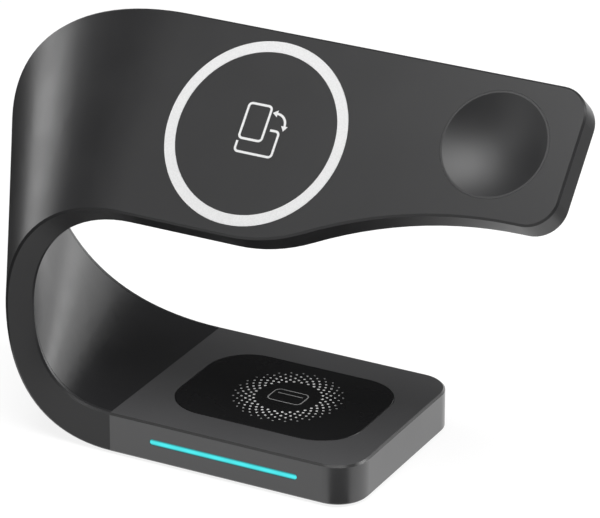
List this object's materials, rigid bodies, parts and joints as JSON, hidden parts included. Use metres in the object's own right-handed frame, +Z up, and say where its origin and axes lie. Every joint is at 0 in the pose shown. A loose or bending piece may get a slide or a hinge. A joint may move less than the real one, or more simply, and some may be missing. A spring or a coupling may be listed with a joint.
{
  "type": "wireless charger",
  "caption": "Desk charger: a flat base with an earbud pad and light bar, and a ribbon arm that curls up into a leaning plate with a phone ring and a watch dish.",
  "frame": {"origin": "on the table, under the middle of the base", "axes": "+X to the plate's free end on the right, +Y to the back, +Z up"},
  "size_m": [0.1967, 0.067, 0.1247],
  "materials": {
    "body_plastic": "fine matt grain, almost black",
    "cover_plastic": "fine matt grain, almost black",
    "panel_gloss": "polished black",
    "ring_white": "satin white",
    "light_cyan": "lit cyan diffuser",
    "foot_rubber": "soft matt rubber",
    "screw_steel": "bright steel",
    "coil_copper": "varnished copper wire",
    "ferrite_grey": "dull grey sheet",
    "magnet_nickel": "nickel plate",
    "board_green": "solder resist",
    "chip_black": "moulded black",
    "capacitor_tan": "ceramic",
    "light_chip": "white chip",
    "socket_steel": "drawn steel",
    "cable_white": "flat white film"
  },
  "bodies": {
    "root": {"base_housing": "body_plastic", "arm_shell": "body_plastic", "watch_dish": "body_plastic", "base_cover": "cover_plastic", "arm_cover": "cover_plastic", "earbud_panel": "panel_gloss", "phone_ring": "ring_white", "light_bar": "light_cyan", "antislip_pad": "foot_rubber", "cover_screws": "screw_steel", "arm_screws": "screw_steel", "earbud_coil": "coil_copper", "phone_coil": "coil_copper", "watch_coil": "coil_copper", "earbud_ferrite": "ferrite_grey", "phone_ferrite": "ferrite_grey", "watch_ferrite": "ferrite_grey", "phone_magnets": "magnet_nickel", "watch_magnet": "magnet_nickel", "main_board": "board_green", "light_board": "board_green", "plate_board": "board_green", "board_chips": "chip_black", "board_inductors": "chip_black", "usb_tongue": "chip_black", "board_capacitors": "capacitor_tan", "light_chips": "light_chip", "usb_socket": "socket_steel", "arm_cable": "cable_white", "watch_lead": "cable_white"}
  },
  "joints": []
}
